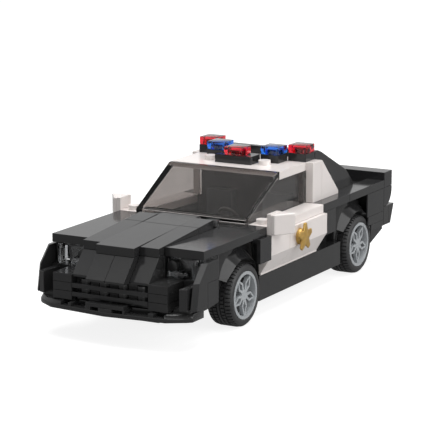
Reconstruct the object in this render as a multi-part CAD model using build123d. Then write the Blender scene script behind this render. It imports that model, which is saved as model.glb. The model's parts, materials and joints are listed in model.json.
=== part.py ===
from build123d import *
import os
from math import cos, pi, sin

# A brick-built toy patrol car: interlocking plastic pieces on a grid of studs.
# Millimetres. +X is the car's left, -Y its front, +Z up.
# The origin lies on the floor, under the middle of the bounding box.

# Grid of the pieces
pitch = 8.0
layer = 3.2
stud_radius = 2.4
stud_height = 1.8
seam = 0.1
overrun = 2.0
half_layer = layer / 2

# Widths, from the middle plane outwards
body_half = 32.0
skirt_inset = 2.8
tail_inset = 4.0
wall_thickness = 4.0
sill_tuck = 4.5
roof_half = body_half - pitch
hood_half = roof_half - pitch
hood_centre_half = hood_half - pitch
panel_half = body_half + half_layer
skirt_half = body_half - skirt_inset
tail_half = body_half - tail_inset
wall_half = roof_half + wall_thickness

# Reach of the nose in front of the fenders, and steps rearwards along the car
nose_reach = 16.0
hood_reach = 8.0
hood_side_reach = 4.0
front_axle_station = 33.4
cabin_step = 14.6
cowl_length = 8.8
hood_side_step = 3.2
hood_seam_step = 11.2
door_step = 0.8
door_front_length = 15.2
glass_run = 24.0
roof_length = 32.0
pillar_run = 15.2
flank_length = 11.2
window_top_run = 6.0
window_slope_run = 22.8
window_foot_run = 6.9
rear_axle_step = 27.8
rail_step = 11.9
quarter_step = 5.3
plate_step = 6.2
lower_step = 9.1
tail_step = 5.3
spoiler_step = 0.3
spoiler_depth = 7.6
tail_foot_step = 3.7
tail_waist_step = 7.0
bumper_depth = 5.1
bumper_foot_step = 6.9
tail_reach = 10.1
diffuser_step = 3.9
diffuser_length = 11.6
skirt_front_step = 13.8
skirt_rear_step = 14.2

# Heights above the floor, and steps from one height to another
rail_foot = 32.0
roof_foot = 48.0
lip_gap = 0.3
lower_rise = 2.6
plate_drop = 1.7
hood_rise = 3.2
glass_rise = 1.6
window_foot_rise = 1.2
window_bend_drop = 10.8
window_brow = 1.1
lamp_height = 3.2
bumper_plates = 3

# Front corners
nose_tile_height = 1.4
nose_tile_depth = 3.6
lip_corner_station = -13.6
lip_cheek_station = -9.6
lip_cheek_inset = 1.6
corner_tile_front = -11.4
corner_tile_side = -10.3
corner_tile_width = 2.6
corner_tile_inset = 1.0
corner_tile_drop = 0.5
corner_bevel = 2.0
corner_brow_station = -6.0
corner_brow_rise = 1.0
corner_cheek_station = -7.9
corner_cheek_rise = 1.0
corner_chin_station = -2.0
lamp_setback = 2.1
lamp_wall = 1.2

# Wheels
tyre_radius = 12.0
tyre_width = 10.6
tyre_shoulder = 1.2
wheel_inset = 1.0
rim_radius = 9.0
rim_lip = 1.2
rim_inset = 0.1
rim_dish = 4.5
hub_radius = 2.0
pin_radius = 2.4
pin_clearance = 0.05
pin_end_gap = 0.6
spoke_inset = 0.5
spoke_depth = 1.4
spoke_count = 5
axle_block_length = 8.0

# Leaf-shaped spokes, measured from the wheel's middle outwards
leaf_root = 1.2
leaf_root_half = 0.8
leaf_belly = 4.3
leaf_belly_half = 1.85
leaf_tip = 8.2
leaf_tip_half = 0.3
leaf_hole_root = 2.4
leaf_hole_half = 1.05
leaf_hole_tip = 6.9
leaf_turn = -17.0

# Wheel arches, measured along the car from the axle, and down from the rail
arch_half_length = 16.0
arch_radius = 13.7
arch_foot_drop = 11.8
arch_foot_half = 13.4
arch_bow_drop = 5.7
arch_bow_half = 9.3
arch_top_drop = 3.4
arch_top_half = 2.3
arch_inset = 5.0
arch_lip_inset = 1.8
arch_lip_share = 0.81
flap_thickness = 0.7

# Mirrors
mirror_arm_rise = 1.6
mirror_width = 8.0
mirror_height = 8.0
mirror_thin = 1.5
mirror_thick = 6.4

# Small black panels in front of the doors
hinge_length = 9.0
hinge_drop = 9.4
hinge_flange = 2.0

# Seats
seat_length = 16.0
seat_height = 9.6

# Star badges
badge_drop = 4.8
badge_radius = 5.6
badge_waist_radius = 2.9
badge_plate = 1.2
badge_boss_radius = 3.2
badge_boss_depth = 1.9
star_points = 5

# Places worked out from the sizes above
nose_station = -nose_reach
hood_nose = -hood_reach
hood_side_nose = -hood_side_reach
cowl_end = front_axle_station + cabin_step
hood_end = cowl_end - cowl_length
hood_side_end = hood_end - hood_side_step
hood_seam_station = hood_side_end - hood_seam_step
door_start = cowl_end + door_step
door_split = door_start + door_front_length
roof_start = cowl_end + glass_run
roof_end = roof_start + roof_length
pillar_start = roof_end - pitch
pillar_foot_end = roof_end + pillar_run
lamp_inner_station = pillar_start - pitch
lamp_centre_station = lamp_inner_station - pitch
flank_end = pillar_start + flank_length
window_top_station = roof_end + window_top_run
window_bend_station = window_top_station + window_slope_run
window_foot_station = window_bend_station + window_foot_run
rear_axle_station = roof_end + rear_axle_step
rear_arch_end = rear_axle_station + arch_half_length
rail_split = rear_axle_station - rail_step
quarter_front = rear_axle_station + quarter_step
plate_front = rear_axle_station + plate_step
lower_front = rear_axle_station + lower_step
quarter_split = rear_arch_end + tail_step
spoiler_start = quarter_split + spoiler_step
spoiler_end = spoiler_start + spoiler_depth
tail_foot_station = quarter_split + tail_foot_step
tail_waist_station = quarter_split + tail_waist_step
bumper_split = quarter_split + bumper_depth
bumper_foot_station = quarter_split + bumper_foot_step
tail_station = quarter_split + tail_reach
diffuser_start = quarter_split - diffuser_step
diffuser_end = diffuser_start + diffuser_length
skirt_start = front_axle_station + skirt_front_step
skirt_end = rear_axle_station - skirt_rear_step
hinge_start = door_start - hinge_length
badge_station = door_split + pitch
fender_y = -(nose_station + tail_station) / 2
waist = rail_foot - pitch
door_foot = waist - pitch
bumper_foot = waist - bumper_plates * layer
floor_height = bumper_foot - layer - half_layer
sill_height = floor_height - layer
hinge_foot = rail_foot - hinge_drop
lip_top = bumper_foot - lip_gap
lower_top = door_foot + lower_rise
plate_top = waist - plate_drop
rail_top = rail_foot + layer
hood_rear_height = rail_top + hood_rise
glass_foot = rail_top + glass_rise
roof_top = roof_foot + layer
lamp_foot = roof_top + layer
lamp_top = lamp_foot + lamp_height
window_foot_height = rail_top + window_foot_rise
window_top_height = lamp_foot - window_brow
window_bend_height = window_top_height - window_bend_drop
corner_brow_height = waist + corner_brow_rise
corner_cheek_height = bumper_foot + corner_cheek_rise
arch_foot_height = rail_foot - arch_foot_drop
arch_bow_height = rail_foot - arch_bow_drop
arch_top_height = rail_foot - arch_top_drop
badge_height = rail_foot - badge_drop
mirror_arm_height = rail_foot + mirror_arm_rise
wheel_height = tyre_radius
front_axle_y = fender_y + front_axle_station
rear_axle_y = fender_y + rear_axle_station
wheel_outer_half = body_half - wheel_inset
wheel_inner_half = wheel_outer_half - tyre_width
rim_face = wheel_outer_half - rim_inset
rim_bed = rim_face - rim_dish
rim_back = rim_bed - half_layer
wall_end = rear_axle_station - arch_half_length - seam
quarter_start = rear_arch_end + seam


def at(station):
    """The y of a station along the car."""
    return fender_y + station


def block(x0, x1, y0, y1, z0, z1):
    """A box between two corners."""
    middle = Pos((x0 + x1) / 2, (y0 + y1) / 2, (z0 + z1) / 2)
    return middle * Box(x1 - x0, y1 - y0, z1 - z0)


def side_prism(points, x0, x1):
    """A prism whose outline is given as (y, z), from x0 to x1."""
    face = make_face(Plane.YZ * Polyline(*points, close=True))
    return Pos(x0, 0, 0) * extrude(face, amount=x1 - x0, dir=(1, 0, 0))


def front_prism(points, y0, y1):
    """A prism whose outline is given as (x, z), from y0 to y1."""
    face = make_face(Plane.XZ * Polyline(*points, close=True))
    return Pos(0, y0, 0) * extrude(face, amount=y1 - y0, dir=(0, 1, 0))


def plan_prism(points, z0, z1):
    """A prism whose outline is given as (x, y), from z0 to z1."""
    face = make_face(Polyline(*points, close=True))
    return Pos(0, 0, z0) * extrude(face, amount=z1 - z0, dir=(0, 0, 1))


def across(radius, x0, x1, y, z):
    """A round bar along x."""
    bar = Plane.YZ * Cylinder(radius, x1 - x0)
    return Pos((x0 + x1) / 2, y, z) * bar


def upright(radius, x, y, z0, z1):
    """A round bar along z."""
    return Pos(x, y, (z0 + z1) / 2) * Cylinder(radius, z1 - z0)


def both_sides(shape):
    """A left piece and its mirror image on the right, as separate solids."""
    return Compound([*shape.solids(), *mirror(shape, about=Plane.YZ).solids()])


def separate(*shapes):
    """Several solids that stay apart in one piece."""
    return Compound([solid for shape in shapes for solid in shape.solids()])


def base_plate():
    """The long plate that carries the whole car, hollow below."""
    half = hood_half - seam
    start = at(0) - pitch / 2
    end = at(diffuser_start) - seam
    bed = floor_height - half_layer
    plate = block(-half, half, start, end, bed, floor_height + half_layer)
    return plate - block(-half + half_layer, half - half_layer, start + half_layer, end - half_layer,
                         bed - overrun, floor_height)


def axle_blocks():
    """Two blocks under the body, each with the pins that carry a pair of wheels."""
    shapes = []
    half = hood_half + pin_end_gap
    reach = axle_block_length / 2
    for axle_y in (front_axle_y, rear_axle_y):
        body = block(-half, half, axle_y - reach, axle_y + reach, floor_height + half_layer, door_foot)
        pin_end = rim_back - pin_end_gap
        for inner, outer in ((half - seam, pin_end), (-pin_end, seam - half)):
            body += across(pin_radius, inner, outer, axle_y, wheel_height)
        shapes.append(body)
    return separate(*shapes)


def core(start, end, axle_y):
    """A stack of bricks with a notch for an axle block."""
    half = hood_half - seam
    reach = axle_block_length / 2 + seam
    low = floor_height + half_layer
    body = block(-half, half, start, end, low, rail_foot - seam)
    return body - block(-half - overrun, half + overrun, axle_y - reach, axle_y + reach,
                        low - overrun, door_foot)


def front_core():
    """The block of bricks under the hood, between the front wheels."""
    return core(at(0) + seam, at(cowl_end) - seam, front_axle_y)


def rear_core():
    """The block of bricks under the trunk, between the rear wheels."""
    half = roof_half - seam
    body = core(at(wall_end), at(quarter_start), rear_axle_y)
    wide = block(-half, half, at(quarter_start), at(quarter_split), bumper_foot + seam, rail_foot - seam)
    return body + wide


def cabin_floor():
    """The floor of the cabin, the bricks behind the seats, and the wall that closes the cabin above them."""
    half = roof_half - seam
    low = floor_height + half_layer
    wall = at(pillar_start) + seam
    floor = block(-half, half, at(cowl_end), wall, low, low + layer)
    floor += block(-half, half, wall, at(wall_end) - seam, low, rail_foot - seam)
    return floor + block(-half, half, wall, at(roof_end) - seam, low, roof_foot - seam)


def side_walls():
    """The walls behind the door panels, cut away below the flanks."""
    end = at(wall_end) - seam
    high = rail_foot - seam
    outline = [(at(door_start), door_foot), (at(pillar_start), door_foot),
               (at(pillar_start), waist - half_layer), (end, waist - half_layer),
               (end, high), (at(door_start), high)]
    return both_sides(side_prism(outline, roof_half, wall_half))


def skirts():
    """The smooth sills between the wheels, open below."""
    sill = block(roof_half, skirt_half, at(skirt_start), at(skirt_end), sill_height, door_foot - seam)
    sill -= block(roof_half - overrun, skirt_half - half_layer, at(skirt_start) + half_layer,
                  at(skirt_end) - half_layer, sill_height - overrun, floor_height)
    return both_sides(sill)


def door_profile():
    """The cross-section of a door: upright above the waist, tucked in below it."""
    inner = wall_half + seam
    foot = panel_half - sill_tuck
    return [(inner, door_foot), (foot, door_foot), (foot, door_foot + half_layer / 2),
            (panel_half, waist), (panel_half, rail_foot - seam), (inner, rail_foot - seam)]


def door_panels():
    """The white doors, in two pieces each, hung sideways on the walls."""
    front = front_prism(door_profile(), at(door_start), at(door_split) - seam)
    rear = front_prism(door_profile(), at(door_split), at(pillar_start))
    return both_sides(separate(front, rear))


def flanks():
    """Black side panels: behind the doors, and a small one in front of each door."""
    high = rail_foot - seam
    panel = block(wall_half + seam, body_half, at(pillar_start) + seam, at(flank_end),
                  waist - half_layer, high)
    start = at(hinge_start)
    end = at(door_start) - seam
    hinge = block(body_half, panel_half, start, end, hinge_foot, high)
    hinge += block(body_half - hinge_flange, body_half, start, end, high - half_layer, high)
    return both_sides(separate(panel, hinge))


def door_ledges():
    """White tiles along the foot of the side windows."""
    ledge = block(roof_half + seam, body_half, at(cowl_end) + mirror_width, at(pillar_start) - seam,
                  rail_foot, rail_top)
    return both_sides(ledge)


def rear_rails():
    """Black tiles along the top of the rear sides."""
    front = block(roof_half + seam, body_half, at(pillar_start), at(rail_split), rail_foot, rail_top)
    rear = block(roof_half + seam, body_half, at(rail_split) + seam, at(spoiler_start) - seam,
                 rail_foot, rail_top)
    return both_sides(separate(front, rear))


def fenders():
    """Smooth plates over the front wheels."""
    plate = block(hood_half + seam, body_half, at(0), at(cowl_end), rail_foot, rail_top)
    return both_sides(plate)


def hood_piece(x0, x1, nose, end):
    """A strip of the hood, in two pieces: a thin front edge, and a top rising rearwards."""
    slope = hood_rise / (end - nose)
    crest = rail_top + slope * (hood_seam_station - nose)
    front = [(at(nose), rail_foot), (at(nose), rail_top), (at(hood_seam_station), crest),
             (at(hood_seam_station), rail_foot)]
    rear = [(at(hood_seam_station) + seam, rail_foot), (at(hood_seam_station) + seam, crest + slope * seam),
            (at(end), hood_rear_height), (at(end), rail_foot)]
    return separate(side_prism(front, x0, x1), side_prism(rear, x0, x1))


def hood_centre():
    """The middle of the hood, which juts out furthest."""
    half = hood_centre_half - seam / 2
    return hood_piece(-half, half, hood_nose, hood_end)


def hood_sides():
    """The sides of the hood, set back from its middle."""
    strip = hood_piece(hood_centre_half + seam / 2, hood_half - seam, hood_side_nose, hood_side_end)
    return both_sides(strip)


def cowl():
    """The plates between the hood and the windscreen."""
    half = hood_half - seam
    return block(-half, half, at(hood_end) + seam, at(cowl_end) - seam, rail_foot, rail_top)


def grille_slopes():
    """Four slanted bricks that form the nose, the middle two further forward."""
    shapes = []
    low = waist - half_layer / 2
    high = rail_foot - seam
    for x0, x1, nose in ((0, hood_centre_half, hood_nose), (hood_centre_half, hood_half, hood_side_nose)):
        start = at(nose)
        foot = start - pitch + half_layer / 2
        outline = [(start, high), (foot, waist), (foot, low), (at(0) - seam, low), (at(0) - seam, high)]
        shapes.append(side_prism(outline, x0 + seam / 2, x1 - seam / 2))
    return both_sides(separate(*shapes))


def grille():
    """Two bars across the nose on a back plate between the bumper blocks, and a low tile on the lip."""
    front = at(hood_side_nose) - pitch
    half = hood_half - seam
    back = block(-half, half, front + layer, at(0) - seam, bumper_foot, waist - half_layer / 2 - seam)
    for step in range(1, bumper_plates):
        top = bumper_foot + step * layer
        back += block(-half, half, front, front + layer, top - half_layer, top)
    tile = block(-hood_centre_half, hood_centre_half, front - nose_tile_depth, front - seam,
                 lip_top, lip_top + nose_tile_height)
    return separate(back, tile)


def bumper_blocks():
    """Stacks of plates beside the grille."""
    shapes = []
    front = at(hood_side_nose) - pitch
    for index in range(bumper_plates):
        z0 = bumper_foot + index * layer
        shapes.append(block(hood_half, roof_half, front, at(0) - seam, z0 + seam, z0 + layer))
    return both_sides(separate(*shapes))


def bumper_tiles():
    """Tiles at the corners of the bumper, turned a little to the side, on a plate above the lip."""
    side = body_half - corner_tile_inset
    inner = side - corner_tile_width
    outline = [(inner, at(corner_tile_front)), (side, at(corner_tile_side)),
               (side, at(0) - seam), (inner, at(0) - seam)]
    tile = plan_prism(outline, door_foot - corner_tile_drop, waist - corner_tile_drop)
    plate = block(roof_half + seam, side, at(hood_nose), at(0) - seam, lip_top, door_foot - corner_tile_drop)
    return both_sides(tile + plate)


def front_lip():
    """The low lip under the bumper, swept back at its corners."""
    left = [(body_half, at(0)), (body_half, at(hood_nose)),
            (body_half - lip_cheek_inset, at(lip_cheek_station)),
            (roof_half, at(lip_corner_station)), (0, at(nose_station))]
    right = [(-x, y) for x, y in reversed(left[:-1])]
    return plan_prism(left + right, bumper_foot - layer, lip_top)


def corner_face(x, bevel):
    """The outline of a corner panel's upper piece at one x, its front edges set back by a bevel."""
    end = at(pitch) - seam
    high = rail_foot - half_layer / 2
    points = [(end, high), (at(0) + bevel, high), (at(corner_brow_station) + bevel, corner_brow_height),
              (at(corner_cheek_station) + bevel, corner_cheek_height),
              (at(corner_chin_station), bumper_foot), (at(0), bumper_foot + seam),
              (at(0), waist), (end, waist)]
    return Pos(x, 0, 0) * make_face(Plane.YZ * Polyline(*points, close=True))


def corner_panels():
    """Panels on the sides, from the front corner to the wheel arch, in two pieces each."""
    upper = loft([corner_face(body_half, -corner_bevel), corner_face(panel_half, 0)], ruled=True)
    end = at(pitch) - seam
    lower = [(at(0) + seam, bumper_foot + seam), (end, corner_cheek_height), (end, waist - seam),
             (at(0) + seam, waist - seam)]
    return both_sides(separate(upper, side_prism(lower, body_half, panel_half)))


def corner_walls():
    """The bricks behind the corner panels: one under each headlamp, and a tall one up to the arch."""
    inner = hood_half + seam
    outer = body_half - seam
    low = bumper_foot + seam
    high = rail_foot - seam
    front = block(inner, outer, at(0), at(pitch) - seam, low, waist)
    back = at(lamp_setback) + pitch
    end = front_axle_y - arch_half_length - seam
    outline = [(at(pitch), low), (end, low), (end, high), (back, high), (back, waist), (at(pitch), waist)]
    rear = side_prism(outline, inner, body_half - arch_inset)
    rear += block(inner, outer, back, back + lamp_wall, waist, high)
    return both_sides(separate(front, rear))


def headlamps():
    """Clear hollow bricks between the corner walls and the fenders."""
    inner = hood_half + seam
    outer = body_half - seam
    start = at(lamp_setback)
    end = start + pitch - seam
    low = waist + seam
    high = rail_foot - seam
    brick = block(inner, outer, start, end, low, high)
    brick -= block(inner + lamp_wall, outer - lamp_wall, start + lamp_wall, end - lamp_wall,
                   low - overrun, high - lamp_wall)
    return both_sides(brick)


def flare_face(axle_y, x, share):
    """The outline of a flare at one x: a share of the way out from the wheel's middle."""
    def point(half, height):
        return axle_y + half * share, wheel_height + (height - wheel_height) * share

    foot = Polyline(point(-arch_foot_half, arch_foot_height), point(-arch_foot_half, wheel_height),
                    point(arch_foot_half, wheel_height), point(arch_foot_half, arch_foot_height))
    top = Line(point(arch_top_half, arch_top_height), point(-arch_top_half, arch_top_height))
    outline = foot + top
    for side in (1, -1):
        outline += ThreePointArc(point(side * arch_foot_half, arch_foot_height),
                                 point(side * arch_bow_half, arch_bow_height),
                                 point(side * arch_top_half, arch_top_height))
    return Pos(x, 0, 0) * make_face(Plane.YZ * outline)


def arch(axle_y, rear):
    """A mudguard: a block over the wheel, and a bowed flare that slants out to its lip."""
    front = axle_y - arch_half_length
    inner = hood_half + seam
    plane = body_half - arch_inset
    lip = body_half - arch_lip_inset
    flare = loft([flare_face(axle_y, plane, 1), flare_face(axle_y, lip, arch_lip_share)], ruled=True)
    flare -= block(plane - overrun, lip + overrun, front, axle_y + arch_half_length, 0, arch_foot_height)
    body = block(inner, plane, front, rear, floor_height, rail_foot - seam) + flare
    body -= block(roof_half, lip + overrun, front - overrun, rear + overrun, 0, door_foot)
    body -= across(arch_radius, inner - overrun, lip + overrun, axle_y, wheel_height)
    return body - block(inner - overrun, lip + overrun, axle_y - arch_radius, axle_y + arch_radius,
                        0, wheel_height)


def front_arches():
    """Mudguards over the front wheels."""
    return both_sides(arch(front_axle_y, at(skirt_start) - seam))


def rear_arches():
    """Mudguards over the rear wheels."""
    return both_sides(arch(rear_axle_y, at(quarter_start) - seam))


def quarter_piece(start, end, low, high):
    """A side plate behind the wheel, with a thin flap that reaches forward past the tyre."""
    well = body_half - flap_thickness
    piece = block(roof_half, body_half, at(start), at(end), low, high)
    return piece - block(roof_half - overrun, well, at(start) - overrun, at(quarter_start),
                         low - overrun, high + overrun)


def quarter_panels():
    """The rear sides behind the wheels, in rows of plates, with a rounded tail end."""
    high = rail_foot - seam
    low = waist + seam
    foot = at(quarter_split) + seam
    rows = [quarter_piece(quarter_front, quarter_split, plate_top, high),
            quarter_piece(plate_front, quarter_split, lower_top, plate_top - seam),
            quarter_piece(lower_front, quarter_split, door_foot, lower_top - seam)]
    tip = (at(spoiler_end), high)
    toe = (at(tail_foot_station), low)
    back = ThreePointArc(tip, (at(tail_waist_station), waist + layer), toe)
    front = Polyline(toe, (foot, low), (foot, high), tip)
    face = make_face(Plane.YZ * (front + back))
    tail = Pos(roof_half, 0, 0) * extrude(face, amount=body_half - roof_half, dir=(1, 0, 0))
    return both_sides(separate(*rows, tail))


def trunk_deck():
    """The smooth lid between the rails."""
    start = at(window_foot_station) + seam
    return block(-roof_half, roof_half, start, at(spoiler_start) - seam, rail_foot, rail_top - half_layer)


def spoiler():
    """The bar across the tail, on the rails' ends."""
    foot = block(-body_half, body_half, at(spoiler_start), at(spoiler_end), rail_foot, rail_top)
    bar = block(-body_half, body_half, at(spoiler_start), at(spoiler_end), rail_top, rail_top + layer)
    return foot + bar


def tail_panel():
    """The upright rear face between the side panels."""
    start = at(quarter_split) + seam
    outline = [(start, waist + seam), (start, rail_foot - seam),
               (at(tail_foot_station) + half_layer, rail_foot - seam), (at(tail_foot_station), waist + seam)]
    return side_prism(outline, -roof_half + seam, roof_half - seam)


def tail_lamps():
    """Red lamps at both ends of the rear face."""
    low = waist + half_layer
    high = rail_foot - seam
    start = at(tail_foot_station) + half_layer
    outline = [(start, low), (start, high), (at(tail_foot_station) + layer, high), (start + seam, low)]
    return both_sides(side_prism(outline, hood_half, roof_half - seam))


def rear_bumper():
    """The rear bumper: an inner bar, and an outer one with a slanted foot."""
    start = at(quarter_split) + seam
    inner = [(start, waist), (at(bumper_split), waist), (at(bumper_split), door_foot), (start, door_foot)]
    outer = [(at(bumper_split) + seam, waist), (at(tail_station) - seam, waist),
             (at(tail_station), waist - seam), (at(bumper_foot_station), door_foot),
             (at(bumper_split) + seam, door_foot)]
    return separate(side_prism(inner, -body_half, body_half), side_prism(outer, -body_half, body_half))


def diffuser():
    """The slanted piece under the rear bumper."""
    low = floor_height - half_layer / 2
    outline = [(at(diffuser_start), low), (at(diffuser_start), bumper_foot), (at(diffuser_end), bumper_foot),
               (at(diffuser_end), bumper_foot - half_layer)]
    return side_prism(outline, -tail_half, tail_half)


def windscreen():
    """The smoked glass: one hollow shell with a raked front that reaches the roof's top edge."""
    foot = at(cowl_end) - half_layer
    crest = roof_top - seam
    start = at(roof_start)
    end = at(pillar_start) - seam
    outer = [(foot, rail_top), (foot, glass_foot), (start, crest), (start + half_layer - seam, crest),
             (start + half_layer - seam, roof_foot - seam), (end, roof_foot - seam), (end, rail_top)]
    inner = [(foot + layer, rail_top - overrun), (foot + layer, glass_foot),
             (start + layer, roof_foot + half_layer), (end + overrun, roof_foot + half_layer),
             (end + overrun, rail_top - overrun)]
    shell = side_prism(outer, -roof_half, roof_half)
    return shell - side_prism(inner, -roof_half + half_layer, roof_half - half_layer)


def roof():
    """The white roof, with two bare studs in front of the lamps."""
    plate = block(-roof_half, roof_half, at(roof_start) + half_layer, at(roof_end), roof_foot, roof_top)
    stud_half = (hood_half + hood_centre_half) / 2
    stud_y = at(lamp_centre_station) + pitch / 2
    for x in (-stud_half, stud_half):
        plate += upright(stud_radius, x, stud_y, roof_top, roof_top + stud_height)
    return plate


def pillars():
    """White rear pillars, one layer thick: an upright piece, and a slanted one behind it."""
    inner = roof_half + seam
    outer = roof_half + layer
    front = block(inner, outer, at(pillar_start), at(roof_end), rail_top, roof_top)
    start = at(roof_end) + seam
    end = at(pillar_foot_end)
    outline = [(start, rail_top), (start, roof_top), (end, window_foot_height), (end, rail_top)]
    return both_sides(separate(front, side_prism(outline, inner, outer)))


def rear_window():
    """The black slanted piece behind the roof, standing on the rails and the deck."""
    start = at(roof_end) + seam
    outline = [(start, rail_foot), (start, lamp_foot), (at(window_top_station) - layer, lamp_foot),
               (at(window_top_station), window_top_height), (at(window_bend_station), window_bend_height),
               (at(window_foot_station), window_foot_height), (at(window_foot_station), rail_foot)]
    return side_prism(outline, -roof_half, roof_half)


def lamp_bases():
    """Black plates under the roof lamps, stepping back on both sides."""
    half = hood_centre_half
    centre = block(-half, half, at(lamp_centre_station), at(lamp_inner_station) - seam, roof_top, lamp_foot)
    inner = block(half, hood_half, at(lamp_inner_station), at(pillar_start) - seam, roof_top, lamp_foot)
    outer = block(hood_half + seam, roof_half, at(pillar_start), at(roof_end) - seam, roof_top, lamp_foot)
    return separate(centre, both_sides(separate(inner, outer)))


def lamp(x, station):
    """A clear square piece on the roof."""
    half = pitch / 2 - seam
    return block(x - half, x + half, at(station) + seam, at(station) + pitch - seam, lamp_foot, lamp_top)


def red_lamps():
    """Three red lamps: one in the middle and one at each end."""
    x = hood_half + pitch / 2
    return separate(lamp(0, lamp_centre_station), lamp(x, pillar_start), lamp(-x, pillar_start))


def blue_lamps():
    """Two blue lamps between the red ones."""
    x = hood_centre_half + pitch / 2
    return separate(lamp(x, lamp_inner_station), lamp(-x, lamp_inner_station))


def mirror_brackets():
    """Angle pieces: a thin arm with a stud, and an upright plate at its end."""
    y0 = at(cowl_end)
    y1 = y0 + mirror_width - seam
    top = mirror_arm_height + half_layer
    arm = block(roof_half + seam, body_half, y0, y1, mirror_arm_height, top)
    arm += upright(stud_radius, roof_half + pitch / 2, (y0 + y1) / 2, top, top + stud_height)
    plate = block(body_half, body_half + half_layer, y0, y1, rail_foot, rail_foot + mirror_height)
    return both_sides(arm + plate)


def mirror_heads():
    """Small wedges on the brackets: thin at the front, thick at the rear."""
    x0 = body_half + half_layer + seam / 2
    y0 = at(cowl_end)
    y1 = y0 + mirror_width - seam
    outline = [(x0, y0), (x0 + mirror_thin, y0), (x0 + mirror_thick, y1 - half_layer / 2),
               (x0 + mirror_thick, y1), (x0, y1)]
    return both_sides(plan_prism(outline, rail_foot, rail_foot + mirror_height))


def badges():
    """Gold five-pointed stars on round bosses, one on each door."""
    points = []
    for index in range(2 * star_points):
        radius = badge_radius if index % 2 == 0 else badge_waist_radius
        angle = pi / 2 + index * pi / star_points
        points.append((at(badge_station) + radius * cos(angle), badge_height + radius * sin(angle)))
    x0 = panel_half + badge_boss_depth
    star = side_prism(points, x0, x0 + badge_plate)
    star += across(badge_boss_radius, panel_half, x0, at(badge_station), badge_height)
    return both_sides(star)


def seats():
    """Two plain seats that show through the glass."""
    low = floor_height + half_layer + layer
    x = pitch
    y1 = at(pillar_start)
    seat = block(x - half_layer, x + pitch + half_layer, y1 - seat_length, y1, low, low + seat_height)
    seat += block(x - half_layer, x + pitch + half_layer, y1 - pitch + layer, y1, low, rail_top + layer)
    return both_sides(seat)


def dashboard():
    """A slanted piece behind the windscreen."""
    start = at(cowl_end) + seam
    outline = [(start, door_foot), (start, rail_top - seam), (at(cowl_end) + layer, rail_top - seam),
               (at(cowl_end) + pitch, rail_foot), (at(cowl_end) + pitch, door_foot)]
    half = roof_half - half_layer - seam
    return side_prism(outline, -half, half)


def leaf(points):
    """A thin prism in the plane of the wheel, from (along, across) points on one side of a spoke's axis."""
    outline = points + [(y, -z) for y, z in reversed(points) if z > 0]
    return side_prism(outline, rim_face - spoke_inset - spoke_depth, rim_face - spoke_inset)


def spoke():
    """One leaf-shaped loop, pointing along y from the wheel's middle."""
    loop = leaf([(leaf_root, leaf_root_half), (leaf_belly, leaf_belly_half), (leaf_tip, leaf_tip_half)])
    return loop - leaf([(leaf_hole_root, 0), (leaf_belly, leaf_hole_half), (leaf_hole_tip, 0)])


def rim(side, axle_y):
    """A rim with five leaf-shaped spokes in front of a deep dish, on its pin."""
    inner = wheel_inner_half
    front = rim_face - spoke_inset
    body = across(rim_radius, inner, rim_face, 0, 0)
    body -= across(rim_radius - rim_lip, rim_bed, rim_face + overrun, 0, 0)
    body += across(hub_radius, rim_bed, front, 0, 0)
    for index in range(spoke_count):
        body += Rot(leaf_turn + 360 / spoke_count * index, 0, 0) * spoke()
    body -= across(pin_radius + pin_clearance, inner - overrun, rim_back, 0, 0)
    body = Pos(0, axle_y, wheel_height) * body
    return body if side > 0 else mirror(body, about=Plane.YZ)


def tyre(side, axle_y):
    """A low tyre with a bevelled outer shoulder."""
    inner = wheel_inner_half
    outer = wheel_outer_half
    bore = rim_radius + seam / 2
    points = [(inner, bore), (inner, tyre_radius), (outer - tyre_shoulder, tyre_radius),
              (outer, tyre_radius - tyre_shoulder), (outer, bore)]
    face = make_face(Plane.XZ * Polyline(*points, close=True))
    body = Pos(0, axle_y, wheel_height) * revolve(face, axis=Axis.X)
    return body if side > 0 else mirror(body, about=Plane.YZ)


nodes = {
    "base_plate": base_plate(),
    "axle_blocks": axle_blocks(),
    "front_core": front_core(),
    "rear_core": rear_core(),
    "cabin_floor": cabin_floor(),
    "side_walls": side_walls(),
    "skirts": skirts(),
    "door_panels": door_panels(),
    "flanks": flanks(),
    "door_ledges": door_ledges(),
    "rear_rails": rear_rails(),
    "fenders": fenders(),
    "hood_centre": hood_centre(),
    "hood_sides": hood_sides(),
    "cowl": cowl(),
    "grille_slopes": grille_slopes(),
    "grille": grille(),
    "bumper_blocks": bumper_blocks(),
    "bumper_tiles": bumper_tiles(),
    "front_lip": front_lip(),
    "corner_panels": corner_panels(),
    "corner_walls": corner_walls(),
    "headlamps": headlamps(),
    "front_arches": front_arches(),
    "rear_arches": rear_arches(),
    "quarter_panels": quarter_panels(),
    "trunk_deck": trunk_deck(),
    "spoiler": spoiler(),
    "tail_panel": tail_panel(),
    "tail_lamps": tail_lamps(),
    "rear_bumper": rear_bumper(),
    "diffuser": diffuser(),
    "windscreen": windscreen(),
    "roof": roof(),
    "pillars": pillars(),
    "rear_window": rear_window(),
    "lamp_bases": lamp_bases(),
    "red_lamps": red_lamps(),
    "blue_lamps": blue_lamps(),
    "mirror_brackets": mirror_brackets(),
    "mirror_heads": mirror_heads(),
    "badges": badges(),
    "seats": seats(),
    "dashboard": dashboard(),
}
for corner, side, axle_y in (("fl", 1, front_axle_y), ("fr", -1, front_axle_y),
                             ("rl", 1, rear_axle_y), ("rr", -1, rear_axle_y)):
    nodes["rim_" + corner] = rim(side, axle_y)
    nodes["tyre_" + corner] = tyre(side, axle_y)

os.makedirs("parts", exist_ok=True)
for name, shape in nodes.items():
    export_step(shape, f"parts/{name}.step")
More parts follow.
